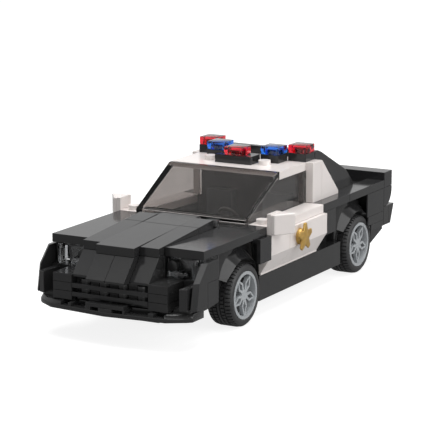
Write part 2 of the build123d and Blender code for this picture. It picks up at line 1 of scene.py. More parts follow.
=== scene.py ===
import bpy
import json
from math import atan2, cos, pi, radians, sin
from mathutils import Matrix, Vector


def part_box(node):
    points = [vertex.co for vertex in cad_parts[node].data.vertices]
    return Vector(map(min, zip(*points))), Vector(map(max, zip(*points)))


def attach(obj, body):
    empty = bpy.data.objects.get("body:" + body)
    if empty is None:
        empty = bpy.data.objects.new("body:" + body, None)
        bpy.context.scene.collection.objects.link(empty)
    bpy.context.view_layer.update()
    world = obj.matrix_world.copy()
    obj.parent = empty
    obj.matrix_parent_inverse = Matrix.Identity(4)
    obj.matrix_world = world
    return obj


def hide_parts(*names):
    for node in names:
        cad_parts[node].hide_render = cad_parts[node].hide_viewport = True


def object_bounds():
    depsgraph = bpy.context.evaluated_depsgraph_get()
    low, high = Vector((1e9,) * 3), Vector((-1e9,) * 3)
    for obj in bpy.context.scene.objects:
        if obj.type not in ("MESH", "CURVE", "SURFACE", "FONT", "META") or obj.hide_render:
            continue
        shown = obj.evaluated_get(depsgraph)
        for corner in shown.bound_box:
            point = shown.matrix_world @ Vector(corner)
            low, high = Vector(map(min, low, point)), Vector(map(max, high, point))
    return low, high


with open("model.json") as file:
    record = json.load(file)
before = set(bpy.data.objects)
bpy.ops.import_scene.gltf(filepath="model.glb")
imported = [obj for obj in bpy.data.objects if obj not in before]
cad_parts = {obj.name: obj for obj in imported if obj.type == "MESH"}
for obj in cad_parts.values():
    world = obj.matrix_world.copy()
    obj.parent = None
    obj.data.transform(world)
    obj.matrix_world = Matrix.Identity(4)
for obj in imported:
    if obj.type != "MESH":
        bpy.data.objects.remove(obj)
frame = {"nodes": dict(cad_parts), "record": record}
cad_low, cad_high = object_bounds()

# Sizes given with MM are in metres. Outlines, sections and stations are plain millimetres,
# and a station counts rearwards from the front edge of the fenders.
MM = 0.001

# Camera, fitted to the photograph on the grid of the bricks
VIEW_AZIMUTH = radians(28.96)
VIEW_ELEVATION = radians(11.87)
VIEW_DISTANCE = 811.5 * MM
VIEW_TARGET = Vector((-1.85 * MM, cad_low[1] + 86.73 * MM, 31.31 * MM))
LENS = 172.6
CLIP_NEAR = 0.01
CLIP_FAR = 20.0

# Studio lamps: name, place, size, power
STUDIO_LAMPS = (
    ("key", (0.9, 0.05, 0.4), 0.8, 4.8),
    ("top", (0.0, 0.1, 1.1), 1.0, 14.0),
    ("front", (0.5, -1.05, 0.3), 0.6, 1.2),
    ("nose", (-0.47, -0.37, 0.86), 0.5, 0.5),
)

# World: white where it is seen; the height over which its mirror image fades, and how strong that is
WORLD_FADE_START = 0.35
WORLD_FADE_END = 0.8
WORLD_MIRRORED = 0.5
WORLD_LIGHT = 0.25

# Floor: its size and depth, its colour and its glow, as it is seen and as it shows in the gloss of the car
FLOOR_SIZE = 6.0
FLOOR_DROP = 0.02 * MM
FLOOR_ROUGH = 0.9
FLOOR_SEEN = (0.36, 0.36, 0.36, 1)
FLOOR_MIRRORED = (0.06, 0.06, 0.06, 1)
FLOOR_GLOW_SEEN = 0.85
FLOOR_GLOW_MIRRORED = 0.32
WHITE = (1.0, 1.0, 1.0, 1)

# Grid of the bricks
PITCH = 8.0 * MM
LAYER = 3.2 * MM
STUD_RADIUS = 2.4 * MM
STUD_HEIGHT = 1.8 * MM
TUBE_RADIUS = 3.25 * MM
TUBE_HEIGHT = LAYER / 2
TUBE_STEPS = 20
TUBE_COLUMNS = (-1, 0, 1)
STUD_STEPS = 28
STUD_EDGE = 0.2 * MM
STUD_EDGE_BEND = 0.3
SEAM = 0.1 * MM

# Tyres: the section from the bore round the outer wall to the crown, as (depth from the wall, radius)
TYRE_SECTION = (
    (0.9, 9.05), (0.25, 9.15), (0.0, 9.5), (0.0, 10.3), (0.15, 10.9), (0.55, 11.4), (1.0, 11.75),
    (2.4, 12.0), (2.45, 11.55), (3.0, 11.55), (3.05, 12.0), (4.3, 12.0), (4.35, 11.6), (4.85, 11.6),
    (4.9, 12.0), (5.3, 12.0))
TYRE_LUGS = 48
LUG_STEPS = 3
LUG_DEPTH = 0.55 * MM
LUG_BANDS = ((0.5, 2.42), (3.04, 4.32))
TYRE_SMOOTH = radians(30)

# Painted shade: a black disc behind the spokes of a rim, standing for the darkness seen through the gaps
# between them
SHADE_DISC_DEPTH = 4.4 * MM
SHADE_DISC_THICKNESS = 0.3 * MM
SHADE_DISC_INNER = 2.05 * MM
SHADE_DISC_OUTER = 7.75 * MM

# Mudguards: points as (from the axle, height), then sizes across the car
ARCH_FOOT = (13.4, 20.2)
ARCH_BOW = (9.3, 26.3)
ARCH_TOP = (2.3, 28.6)
ARCH_RADIUS = 13.7
ARCH_SHARE = 0.81
ARCH_INNER = 16.1 * MM
ARCH_STEP = 24.0 * MM
ARCH_PLANE = 27.0 * MM
ARCH_REACH = 3.2 * MM
ARCH_CREASE = 0.3 * MM
ARCH_CREASE_ANGLE = radians(24)
BOW_STEPS = 8
WELL_STEPS = 48
WELL_REACH = 3 * PITCH

# Roof lamps, open below over a stud: each node's slot and its places as (x, station)
ROOF_LAMPS = {
    "red_lamps": ("red_clear", ((0, 80), (20, 96), (-20, 96))),
    "blue_lamps": ("blue_clear", ((12, 88), (-12, 88))),
}
LAMP_WALL = 1.5 * MM
LAMP_CEILING = 1.2 * MM
LAMP_NOTCH = 0.35 * MM
LAMP_NOTCH_SHARE = 0.955

# Front lip: its outline as (x, station) on one side, and its gaps as (x from, x to), right to left
LIP_SIDE = ((32.0, 0.0), (32.0, -8.0), (30.4, -9.6), (24.0, -13.6))
LIP_NOSE = -16.0
LIP_SWEEP = 0.1
LIP_GAPS = ((-19.4, -16.1), (-14.7, -8.5), (-6.0, -2.5), (3.1, 7.3), (8.1, 17.3), (19.3, 23.6))
LIP_GAP_HEIGHT = 1.3 * MM
LIP_GAP_DEPTH = 5.6
LIP_CHEEK = (23.8, -6.0)
LIP_CHEEK_SHIFT = (-0.3 * MM, 1.1 * MM)
LIP_EDGE = 0.08 * MM

# Studs behind the grille's bars and on the cowl: where they stand in x and along the car
STUD_ROW = (-12, -4, 4, 12)
GRILLE_STATION = -8.0
GRILLE_LAYERS = (1, 2)
GRILLE_STUD_HEIGHT = LAYER / 2
COWL_STATION = 42.8

# Headlamps: bars and rods of one radius, and where they and the studs stand
HEADLAMP_RADIUS = 1.3 * MM
HEADLAMP_EDGE = 0.25 * MM
HEADLAMP_BAR = 28.4 * MM
HEADLAMP_ROD = (17.2 * MM, 24.4 * MM)
HEADLAMP_STUD = (18.8 * MM, 28.4 * MM)
HEADLAMP_STUD_RADIUS = 2.1 * MM

# Steering wheel: its middle as (x, station, z), and its wire, spokes and column
STEERING_PLACE = (10.0, 59.0, 34.6)
STEERING_RADIUS = 4.0 * MM
STEERING_WIRE = 0.75 * MM
STEERING_STEPS = 32
STEERING_WIRE_STEPS = 10
STEERING_TILT = radians(35)
COLUMN_RADIUS = 1.2 * MM
COLUMN_LENGTH = 6.0 * MM
COLUMN_STEPS = 16

# Door stars: rays as radii and half the angle of a blunt tip, and a boss as (from the door, radius)
STAR_RAYS = 5
STAR_RADIUS = 5.6
STAR_WAIST = 3.0
STAR_TIP = 0.15
STAR_RIM = 0.85 * MM
STAR_RIDGE = 0.35 * MM
STAR_EDGE = 0.3 * MM
STAR_CREASE = radians(3)
BOSS_SECTION = ((0, 0), (0, 3.2), (1.2, 3.2), (1.65, 3.0), (1.9, 2.5), (2.1, 2.5), (2.1, 0))

# Softening of moulded edges, in general and on rounder nodes
EDGE_RADIUS = 0.16 * MM
EDGE_STEPS = 2
EDGE_ANGLE = radians(35)
ROUNDED = {"mirror_heads": 0.6 * MM}
ROUNDED_STEPS = 4
BEVEL_ANGLE = radians(40)
SMOOTH_ANGLE = radians(38)
SEAM_REACH = 0.002 * MM

# Patches in the materials: how many per metre, the values that are spread from 0 to 1, and their detail
DETAIL = 3.0
FLOW = (70.0, 0.35, 0.65)
GLOSS_HAZE = (260.0, 0.4, 0.7, 4.0)
HAIRLINES = (2600.0, 0.55, 0.8, 2.0)
DEPTH_CLOUD = (120.0, 0.35, 0.65)
CLEAR_HAZE = (500.0, 0.45, 0.7, 4.0)
BLOOM = (340.0, 0.4, 0.7, 5.0)
SWIRL = (420.0, 0.3, 0.7, 4.0)

# Relief of the materials: how many bumps per metre and their detail, then their depth
RIPPLE = (95.0, 1.0)
RIPPLE_DEPTH = 0.012 * MM
RUBBER_GRAIN = (4200.0, 3.0)
RUBBER_DEPTH = 0.02 * MM
PEARL_GRAIN = (900.0, 2.0)
PEARL_DEPTH = 0.01 * MM

# Gloss of the materials: roughness and how much the patches add to it, then how light bends and shines
BLACK_ROUGH = 0.10
WHITE_ROUGH = 0.16
GREY_ROUGH = 0.18
WEAR = 0.05
GLASS_ROUGH = 0.01
CLEAR_ROUGH = 0.02
CLEAR_WEAR = 0.03
RUBBER_ROUGH = 0.46
RUBBER_BLOOM = 0.16
PEARL_ROUGH = 0.30
PEARL_SWIRL = 0.08
PEARL_METAL = 0.45
PLASTIC_BEND = 1.52
BEND = 1.5
GLASS_BEND = 1.4
PLASTIC_SHINE = 0.5
BLACK_SHINE = 0.34

# Where a Mix node takes its two colours and gives the blend
FIRST_COLOUR = 6
SECOND_COLOUR = 7
BLENDED_COLOUR = 2

# Colours, as the two between which each material varies
BLACK = ((0.022, 0.022, 0.023, 1), (0.026, 0.026, 0.026, 1))
WARM_WHITE = ((0.81, 0.755, 0.73, 1), (0.83, 0.775, 0.75, 1))
GREY = ((0.385, 0.405, 0.42, 1), (0.41, 0.43, 0.445, 1))
DARK_GREY = ((0.07, 0.08, 0.085, 1), (0.08, 0.09, 0.095, 1))
GOLD = ((0.42, 0.25, 0.055, 1), (0.60, 0.38, 0.10, 1))
RUBBER_BLACK = ((0.024, 0.024, 0.025, 1), (0.036, 0.036, 0.037, 1))
SMOKE = ((0.57, 0.54, 0.525, 1), (0.60, 0.57, 0.555, 1))
RED = ((0.75, 0.02, 0.04, 1), (0.80, 0.03, 0.05, 1))
BLUE = ((0.02, 0.16, 0.75, 1), (0.03, 0.20, 0.80, 1))
CLEAR = ((0.62, 0.63, 0.64, 1), (0.68, 0.69, 0.70, 1))


class Field:
    """A value that varies over a surface; sums on it add the Math nodes, and | takes the greater."""

    def __init__(self, tree, socket):
        self.tree = tree
        self.socket = socket

    def math(self, operation, other):
        """A Math node on this field and another field or number."""
        node = self.tree.nodes.new("ShaderNodeMath")
        node.operation = operation
        for place, value in zip(node.inputs, (self, other)):
            if isinstance(value, Field):
                self.tree.links.new(value.socket, place)
            else:
                place.default_value = value
        return Field(self.tree, node.outputs[0])

    def __add__(self, other):
        return self.math("ADD", other)

    __radd__ = __add__

    def __mul__(self, other):
        return self.math("MULTIPLY", other)

    __rmul__ = __mul__

    def __or__(self, other):
        return self.math("MAXIMUM", other)


class Network:
    """The nodes of a material or of the world."""

    def __init__(self, tree):
        self.tree = tree

    def node(self, kind, settings=None, inputs=None):
        """Adds a node, with its settings first and then the values or links of its sockets."""
        node = self.tree.nodes.new(kind)
        for name, value in (settings or {}).items():
            setattr(node, name, value)
        for name, value in (inputs or {}).items():
            self.feed(node.inputs[name], value)
        return node

    def feed(self, socket, value):
        """Links a field or a socket, or sets a plain value."""
        if isinstance(value, Field):
            value = value.socket
        if isinstance(value, bpy.types.NodeSocket):
            self.tree.links.new(value, socket)
        else:
            socket.default_value = value

    def rays(self, *kinds):
        """One field for each kind of ray, which is 1 where the surface is met by such a ray."""
        path = self.node("ShaderNodeLightPath")
        return [Field(self.tree, path.outputs[f"Is {kind} Ray"]) for kind in kinds]

    def stretch(self, field, low, high, start=0.0, end=1.0):
        """Takes a field from low to high over to start to end, and clips it."""
        node = self.node("ShaderNodeMapRange", {"clamp": True}, {
            "Value": field, "From Min": low, "From Max": high, "To Min": start, "To Max": end})
        return Field(self.tree, node.outputs["Result"])


class Finish(Network):
    """A material with its shader, built up node by node."""

    def __init__(self, name):
        self.material = bpy.data.materials.new(name)
        self.material.use_nodes = True
        super().__init__(self.material.node_tree)
        self.shader = self.tree.nodes["Principled BSDF"]
        self.place = self.node("ShaderNodeTexCoord").outputs["Object"]

    def set(self, **values):
        """Sets or links the shader's own sockets."""
        for name, value in values.items():
            self.feed(self.shader.inputs[name.replace("_", " ")], value)

    def noise(self, per_metre, detail=DETAIL):
        """Smooth noise between 0 and 1."""
        node = self.node("ShaderNodeTexNoise", inputs={
            "Vector": self.place, "Scale": per_metre, "Detail": detail})
        return Field(self.tree, node.outputs["Fac"])

    def patches(self, per_metre, low, high, detail=DETAIL):
        """Noise whose values between low and high are spread from 0 to 1."""
        return self.stretch(self.noise(per_metre, detail), low, high)

    def blend(self, mask, first, second):
        """A colour between two colours."""
        node = self.node("ShaderNodeMix", {"data_type": "RGBA"}, {"Factor": mask})
        self.feed(node.inputs[FIRST_COLOUR], first)
        self.feed(node.inputs[SECOND_COLOUR], second)
        return node.outputs[BLENDED_COLOUR]

    def relief(self, height, depth):
        """A bump of the given depth that feeds the shader's normal."""
        bump = self.node("ShaderNodeBump", inputs={"Height": height, "Distance": depth})
        self.feed(self.shader.inputs["Normal"], bump.outputs["Normal"])


def moulded(name, colours, rough, shine=PLASTIC_SHINE):
    """Moulded plastic: faint flow marks, a slight ripple, and fine hairline wear in its gloss."""
    finish = Finish(name)
    finish.set(Base_Color=finish.blend(finish.patches(*FLOW), *colours))
    finish.set(Roughness=rough + finish.patches(*GLOSS_HAZE) * WEAR + finish.patches(*HAIRLINES) * WEAR)
    finish.relief(finish.noise(*RIPPLE), RIPPLE_DEPTH)
    finish.set(IOR=PLASTIC_BEND, Specular_IOR_Level=shine)
    return finish.material


def clear(name, colours, rough, bend=BEND):
    """Clear plastic with the colour in its depth."""
    finish = Finish(name)
    finish.set(Base_Color=finish.blend(finish.patches(*DEPTH_CLOUD), *colours))
    finish.set(Roughness=rough + finish.patches(*CLEAR_HAZE) * CLEAR_WEAR)
    finish.set(Transmission_Weight=1.0, IOR=bend)
    return finish.material


def rubber(name, colours):
    """Matte tyre rubber with a dusty bloom."""
    finish = Finish(name)
    bloom = finish.patches(*BLOOM)
    finish.set(Base_Color=finish.blend(bloom, *colours))
    finish.set(Roughness=RUBBER_ROUGH + bloom * RUBBER_BLOOM, IOR=BEND)
    finish.relief(finish.noise(*RUBBER_GRAIN), RUBBER_DEPTH)
    return finish.material


def pearl(name, colours):
    """Pearl plastic with its faint swirls."""
    finish = Finish(name)
    swirl = finish.patches(*SWIRL)
    finish.set(Base_Color=finish.blend(swirl, *colours))
    finish.set(Roughness=PEARL_ROUGH + swirl * PEARL_SWIRL, Metallic=PEARL_METAL, IOR=BEND)
    finish.relief(finish.noise(*PEARL_GRAIN), PEARL_DEPTH)
    return finish.material


finishes = {
    "black_plastic": moulded("black_plastic", BLACK, BLACK_ROUGH, BLACK_SHINE),
    "white_plastic": moulded("white_plastic", WARM_WHITE, WHITE_ROUGH),
    "grey_plastic": moulded("grey_plastic", GREY, GREY_ROUGH),
    "dark_grey_plastic": moulded("dark_grey_plastic", DARK_GREY, GREY_ROUGH),
    "gold_plastic": pearl("gold_plastic", GOLD),
    "tyre_rubber": rubber("tyre_rubber", RUBBER_BLACK),
    "smoke_clear": clear("smoke_clear", SMOKE, GLASS_ROUGH, GLASS_BEND),
    "red_clear": clear("red_clear", RED, CLEAR_ROUGH),
    "blue_clear": clear("blue_clear", BLUE, CLEAR_ROUGH),
    "plain_clear": clear("plain_clear", CLEAR, CLEAR_ROUGH),
}


def soften(piece, radius, steps):
    """Rounds the moulded edges of a piece a little."""
    weld = piece.modifiers.new("weld", "WELD")
    weld.merge_threshold = SEAM_REACH
    bevel = piece.modifiers.new("edges", "BEVEL")
    bevel.width = radius
    bevel.segments = steps
    bevel.limit_method = "ANGLE"
    bevel.angle_limit = EDGE_ANGLE
    bevel.harden_normals = True
    bevel.use_clamp_overlap = True


def at(station):
    """The y of a station in millimetres behind the front edge of the fenders."""
    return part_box("fenders")[0][1] + station * MM


def ends(node):
    """The lowest and highest corner of a node."""
    return [Vector(end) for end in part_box(node)]


def wheel_place(node):
    """The middle of a wheel's node, the side of the car that it is on, and the x of its outer face."""
    low, high = ends(node)
    middle = (low + high) / 2
    side = 1 if middle.x > 0 else -1
    return middle, side, high.x if side > 0 else low.x


def put_down():
    """Ends any editing and selects nothing."""
    if bpy.context.object and bpy.context.object.mode != "OBJECT":
        bpy.ops.object.mode_set(mode="OBJECT")
    bpy.ops.object.select_all(action="DESELECT")


def take(*pieces):
    """Selects only the given pieces, the first as the active one."""
    put_down()
    for piece in pieces:
        piece.select_set(True)
    bpy.context.view_layer.objects.active = pieces[0]
    return pieces[0]


def fix_place(piece, name):
    """Puts a new piece's place into its mesh and gives it its name."""
    bpy.ops.object.transform_apply(location=True, rotation=True, scale=True)
    piece.name = name
    return piece


def add_block(name, low, high):
    """A block between two corners."""
    put_down()
    middle = [(a + b) / 2 for a, b in zip(low, high)]
    size = [b - a for a, b in zip(low, high)]
    bpy.ops.mesh.primitive_cube_add(size=1.0, location=middle, scale=size)
    return fix_place(bpy.context.object, name)


def pick(piece, kind, wanted):
    """Opens a piece for editing with only the wanted faces or points selected."""
    take(piece)
    bpy.ops.object.mode_set(mode="EDIT")
    bpy.ops.mesh.select_mode(type=kind)
    bpy.ops.mesh.select_all(action="DESELECT")
    bpy.ops.object.mode_set(mode="OBJECT")
    for part in piece.data.polygons if kind == "FACE" else piece.data.vertices:
        part.select = wanted(part.center if kind == "FACE" else part.co)
    bpy.ops.object.mode_set(mode="EDIT")


def bevel_all(piece, width, angle=BEVEL_ANGLE):
    """Rounds the edges of a piece for good."""
    take(piece)
    bevel = piece.modifiers.new("edges", "BEVEL")
    bevel.width = width
    bevel.segments = EDGE_STEPS
    bevel.limit_method = "ANGLE"
    bevel.angle_limit = angle
    bpy.ops.object.modifier_apply(modifier=bevel.name)


def trace(name, points):
    """A wire through the given points, left open for editing with all of it selected."""
    put_down()
    bpy.ops.mesh.primitive_plane_add(size=MM, location=points[0])
    wire = fix_place(bpy.context.object, name)
    bpy.ops.object.mode_set(mode="EDIT")
    bpy.ops.mesh.select_mode(type="VERT")
    bpy.ops.mesh.select_all(action="SELECT")
    bpy.ops.mesh.merge(type="CENTER")
    for before, after in zip(points, points[1:]):
        bpy.ops.mesh.extrude_region_move(TRANSFORM_OT_translate={"value": after - before})
    bpy.ops.mesh.select_all(action="SELECT")
    return wire


def close_up():
    """Selects the whole of the open piece, turns its faces outwards and ends the editing."""
    bpy.ops.mesh.select_all(action="SELECT")
    bpy.ops.mesh.normals_make_consistent(inside=False)
    put_down()


def add_prism(name, points, shift, share=1, middle=(0, 0, 0)):
    """A piece between an outline and its copy, shifted, and scaled to a share about a middle."""
    prism = trace(name, points)
    bpy.ops.mesh.edge_face_add()
    bpy.ops.mesh.extrude_region_move(TRANSFORM_OT_translate={"value": shift})
    bpy.ops.transform.resize(value=(1, share, share), center_override=middle)
    close_up()
    return prism


def combine(piece, other, operation):
    """Adds another piece to a piece, or cuts it away, and removes the other."""
    take(piece)
    step = piece.modifiers.new("step", "BOOLEAN")
    step.object = other
    step.operation = operation
    step.solver = "EXACT"
    bpy.ops.object.modifier_apply(modifier=step.name)
    take(other)
    bpy.ops.object.delete()


def turn(name, section, place, axis, steps):
    """A turned piece: a section of (along the axis, radius) points, swept once round the axis."""
    axis = Vector(axis)
    across = axis.orthogonal().normalized()
    piece = trace(name, [Vector(place) + axis * along + across * radius for along, radius in section])
    bpy.ops.mesh.spin(steps=steps, angle=2 * pi, center=place, axis=axis)
    bpy.ops.mesh.select_all(action="SELECT")
    bpy.ops.mesh.remove_doubles(threshold=SEAM_REACH)
    close_up()
    return piece


def copy_to(piece, name, shift):
    """A copy of a piece with its own mesh, moved by a shift."""
    take(piece)
    bpy.ops.object.duplicate()
    bpy.ops.transform.translate(value=shift)
    return fix_place(bpy.context.object, name)


def join(name, pieces):
    """Several pieces made one."""
    joined = take(*pieces)
    bpy.ops.object.join()
    joined.name = name
    return joined


def settle(piece, slot, body="chassis", smooth=SMOOTH_ANGLE):
    """Gives a finished piece its finish, its slot and the body that it moves with."""
    take(piece)
    bpy.ops.object.shade_smooth_by_angle(angle=smooth)
    piece.data.materials.clear()
    piece.data.materials.append(finishes[slot])
    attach(piece, body)
    put_down()
    return piece


def add_copies(name, first, places):
    """One piece made of a first piece and its copies at the other places."""
    others = [copy_to(first, name + "_next", Vector(place) - Vector(places[0])) for place in places[1:]]
    return join(name, [first, *others])


def add_studs(name, slot, places, axis=(0, 0, 1), radius=STUD_RADIUS, height=STUD_HEIGHT):
    """Round studs with a soft edge, standing on the given places."""
    bend = STUD_EDGE * STUD_EDGE_BEND
    section = ((0, radius), (height - STUD_EDGE, radius), (height - bend, radius - bend),
               (height, radius - STUD_EDGE), (height, 0))
    settle(add_copies(name, turn(name, section, places[0], axis, STUD_STEPS), places), slot)


def add_tyre(corner):
    """A low tyre with a plain wall, two rows of lugs to each side and grooves between them."""
    low, high = ends("tyre_" + corner)
    middle, side, wall = wheel_place("tyre_" + corner)
    outer = [(-side * depth * MM, radius * MM) for depth, radius in TYRE_SECTION]
    inner = [(-side * (high.x - low.x) - along, radius) for along, radius in reversed(outer)]
    steps = TYRE_LUGS * LUG_STEPS
    tyre = turn("tread_" + corner, outer + inner, (wall, middle.y, middle.z), (1, 0, 0), steps)

    def is_notch(centre):
        depth = min(centre.x - low.x, high.x - centre.x) / MM
        angle = atan2(centre.z - middle.z, centre.y - middle.y) % (2 * pi)
        step = int(angle / (2 * pi) * steps)
        for band, (start, end) in enumerate(LUG_BANDS):
            if start < depth < end:
                return (step + band) % LUG_STEPS == 0
        return False

    pick(tyre, "FACE", is_notch)
    bpy.ops.mesh.extrude_region_shrink_fatten(TRANSFORM_OT_shrink_fatten={"value": -LUG_DEPTH})
    put_down()
    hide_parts("tyre_" + corner)
    settle(tyre, "tyre_rubber", "wheel_" + corner, TYRE_SMOOTH)


def add_painted_shade_disc(corner):
    """A black disc behind the spokes of a rim, as painted shade in the gaps between them."""
    middle, side, face = wheel_place("rim_" + corner)
    section = ((0, SHADE_DISC_INNER), (0, SHADE_DISC_OUTER), (SHADE_DISC_THICKNESS, SHADE_DISC_OUTER), (SHADE_DISC_THICKNESS, SHADE_DISC_INNER),
               (0, SHADE_DISC_INNER))
    start = (face - side * SHADE_DISC_DEPTH, middle.y, middle.z)
    shade_disc = turn("shade_disc_" + corner, section, start, (side, 0, 0), TYRE_LUGS)
    # the black plastic of this disc is painted shade between the spokes
    settle(shade_disc, "black_plastic", "wheel_" + corner)


def bow(first, middle, last):
    """Points on a smooth curve through three points, without its last point."""
    pull = [2 * m - (a + b) / 2 for a, m, b in zip(first, middle, last)]
    points = []
    for step in range(BOW_STEPS):
        t = step / BOW_STEPS
        points.append([a * (1 - t) ** 2 + 2 * c * t * (1 - t) + b * t ** 2
                       for a, c, b in zip(first, pull, last)])
    return points


def beside(x, axle, points):
    """Points in a plane across the car, from millimetres along the car from an axle and up."""
    return [Vector((x, axle.y + y * MM, z * MM)) for y, z in points]


def add_arches(node, corner):
    """The mudguards over a pair of wheels: a block over each, and a bowed flare with crisp creases."""
    low, high = ends(node)
    axle = wheel_place("tyre_" + corner)[0]
    sill_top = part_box("door_panels")[0][2]
    rise = bow(ARCH_FOOT, ARCH_BOW, ARCH_TOP) + [ARCH_TOP]
    outline = [(-y, z) for y, z in rise] + list(reversed(rise))
    turned = [pi * step / WELL_STEPS for step in range(WELL_STEPS + 1)]
    well = [(ARCH_RADIUS * cos(angle), axle.z / MM + ARCH_RADIUS * sin(angle)) for angle in turned]
    well += [(-ARCH_RADIUS, -LAYER / MM), (ARCH_RADIUS, -LAYER / MM)]
    pieces = []
    for side in (1, -1):
        block = add_block("mudguard", (side * ARCH_INNER, low.y, low.z),
                          (side * ARCH_PLANE, high.y, high.z))
        flare = add_prism("flare", beside(side * (ARCH_PLANE - SEAM_REACH), axle, outline),
                          (side * ARCH_REACH, 0, 0), ARCH_SHARE, axle)
        combine(block, flare, "UNION")
        sill = add_block("sill", (side * ARCH_STEP, low.y - LAYER, low.z - LAYER),
                         (side * (ARCH_PLANE + PITCH), high.y + LAYER, sill_top))
        combine(block, sill, "DIFFERENCE")
        hole = add_prism("well", beside(side * (ARCH_INNER - LAYER), axle, well), (side * WELL_REACH, 0, 0))
        combine(block, hole, "DIFFERENCE")
        bevel_all(block, ARCH_CREASE, ARCH_CREASE_ANGLE)
        pieces.append(block)
    arches = join(node + "_bowed", pieces)
    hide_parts(node)
    settle(arches, "black_plastic", smooth=ARCH_CREASE_ANGLE)


def add_lamp_cover(name, low, high):
    """A clear square tile: a notch round its foot, and a hollow that takes a stud."""
    cover = add_block(name, low, high)
    notch = low[2] + LAMP_NOTCH
    middle = (Vector(low) + Vector(high)) / 2
    bpy.ops.object.mode_set(mode="EDIT")
    bpy.ops.mesh.select_all(action="SELECT")
    bpy.ops.mesh.bisect(plane_co=(0, 0, notch), plane_no=(0, 0, 1))
    pick(cover, "FACE", lambda centre: abs(centre.z - low[2]) < SEAM_REACH)
    bpy.ops.transform.resize(value=(LAMP_NOTCH_SHARE, LAMP_NOTCH_SHARE, 1), center_override=middle)
    bpy.ops.mesh.inset(thickness=LAMP_WALL)
    hollow = high[2] - low[2] - LAMP_CEILING
    bpy.ops.mesh.extrude_region_move(TRANSFORM_OT_translate={"value": (0, 0, hollow)})
    put_down()
    bevel_all(cover, EDGE_RADIUS)
    return cover


def add_roof_lamps():
    """The clear lamps on the roof, each over a black stud of its base."""
    foot, top = (end.z for end in ends("red_lamps"))
    reach = PITCH / 2 - SEAM
    bases = []
    for node, (slot, places) in ROOF_LAMPS.items():
        covers = []
        for x, station in places:
            middle = Vector((x * MM, at(station) + PITCH / 2, foot))
            low = (middle.x - reach, middle.y - reach, foot)
            high = (middle.x + reach, middle.y + reach, top)
            covers.append(add_lamp_cover(node + "_cover", low, high))
            bases.append(middle)
        covers = join(node + "_covers", covers)
        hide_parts(node)
        settle(covers, slot)
    add_studs("lamp_studs", "black_plastic", bases)


def add_badges():
    """The stars on the doors: blunt rays with a ridge along each, on a round boss."""
    low, high = ends("badges")
    centre = Vector((0, (low.y + high.y) / 2, high.z - STAR_RADIUS * MM))
    back = high.x - STAR_RIM - STAR_RIDGE
    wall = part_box("door_panels")[1][0]
    outline = []
    for ray in range(STAR_RAYS):
        tip = 2 * pi * ray / STAR_RAYS
        outline += [(tip - STAR_TIP, STAR_RADIUS), (tip + STAR_TIP, STAR_RADIUS),
                    (tip + pi / STAR_RAYS, STAR_WAIST)]
    rays = [(sin(turned) * radius, centre.z / MM + cos(turned) * radius) for turned, radius in outline]
    section = [(along * MM, radius * MM) for along, radius in BOSS_SECTION]
    pieces = []
    for side in (1, -1):
        star = add_prism("badge_star", beside(side * back, centre, rays), (side * STAR_RIM, 0, 0))
        pick(star, "FACE", lambda middle: side * middle.x > back + STAR_RIM - SEAM_REACH)
        bpy.ops.mesh.poke(offset=STAR_RIDGE)
        take(star)
        bpy.ops.object.shade_smooth_by_angle(angle=STAR_CREASE)
        bevel_all(star, STAR_EDGE)
        boss = turn("badge_boss", section, (side * wall, centre.y, centre.z), (side, 0, 0), STUD_STEPS)
        pieces += [star, boss]
    stars = join("badge_stars", pieces)
    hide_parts("badges")
    settle(stars, "gold_plastic")


def add_slab(name, outline, low, high):
    """A flat piece between two heights, from its outline in (x, station)."""
    points = [Vector((x * MM, at(station), low)) for x, station in outline]
    return add_prism(name, points, (0, 0, high - low))


def lip_front(x):
    """The station of the lip's front edge at one x."""
    return LIP_NOSE + LIP_SWEEP * abs(x)


def add_lip():
    """The front lip: a plain foot, and above it the gaps that show between its studs."""
    low, high = ends("front_lip")
    split = high.z - LIP_GAP_HEIGHT
    right = [(-x, station) for x, station in LIP_SIDE]
    left = list(reversed(LIP_SIDE))
    foot = add_slab("lip_foot", right + [(0, LIP_NOSE)] + left, low.z, split)
    notched = list(right)
    for start, end in LIP_GAPS:
        if notched[-1][0] < 0 < start:
            notched.append((0, LIP_NOSE))
        for x, depth in ((start, 0), (start, LIP_GAP_DEPTH), (end, LIP_GAP_DEPTH), (end, 0)):
            notched.append((x, lip_front(x) + depth))
    teeth = add_slab("lip_teeth", notched + left, split, high.z)
    cheek_x, cheek_station = LIP_CHEEK
    inwards, rearwards = LIP_CHEEK_SHIFT
    for side in (1, -1):
        pick(teeth, "VERT", lambda point: point.z > split + SEAM_REACH and side * point.x / MM > cheek_x
             and point.y < at(cheek_station))
        bpy.ops.transform.translate(value=(side * inwards, rearwards, 0))
    for layer in (foot, teeth):
        bevel_all(layer, LIP_EDGE)
    lip = join("lip", [foot, teeth])
    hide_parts("front_lip")
    settle(lip, "black_plastic")


def add_steering_wheel():
    """The steering wheel that shows through the windscreen, on a short column."""
    x, station, z = STEERING_PLACE
    centre = Vector((x * MM, at(station), z * MM))
    axis = Vector((0, -cos(STEERING_TILT), -sin(STEERING_TILT)))
    turned = [2 * pi * step / STEERING_WIRE_STEPS for step in range(STEERING_WIRE_STEPS + 1)]
    ring = [(STEERING_WIRE * cos(angle), STEERING_RADIUS + STEERING_WIRE * sin(angle)) for angle in turned]
    rod = ((0, 0), (0, COLUMN_RADIUS), (COLUMN_LENGTH, COLUMN_RADIUS), (COLUMN_LENGTH, 0))
    rim = turn("steering_rim", ring, centre, axis, STEERING_STEPS)
    column = turn("steering_column", rod, centre, axis, COLUMN_STEPS)
    reach = Vector((STEERING_RADIUS, STEERING_WIRE, STEERING_WIRE))
    spokes = add_block("steering_spokes", centre - reach, centre + reach)
    settle(join("steering_wheel", [rim, column, spokes]), "black_plastic")


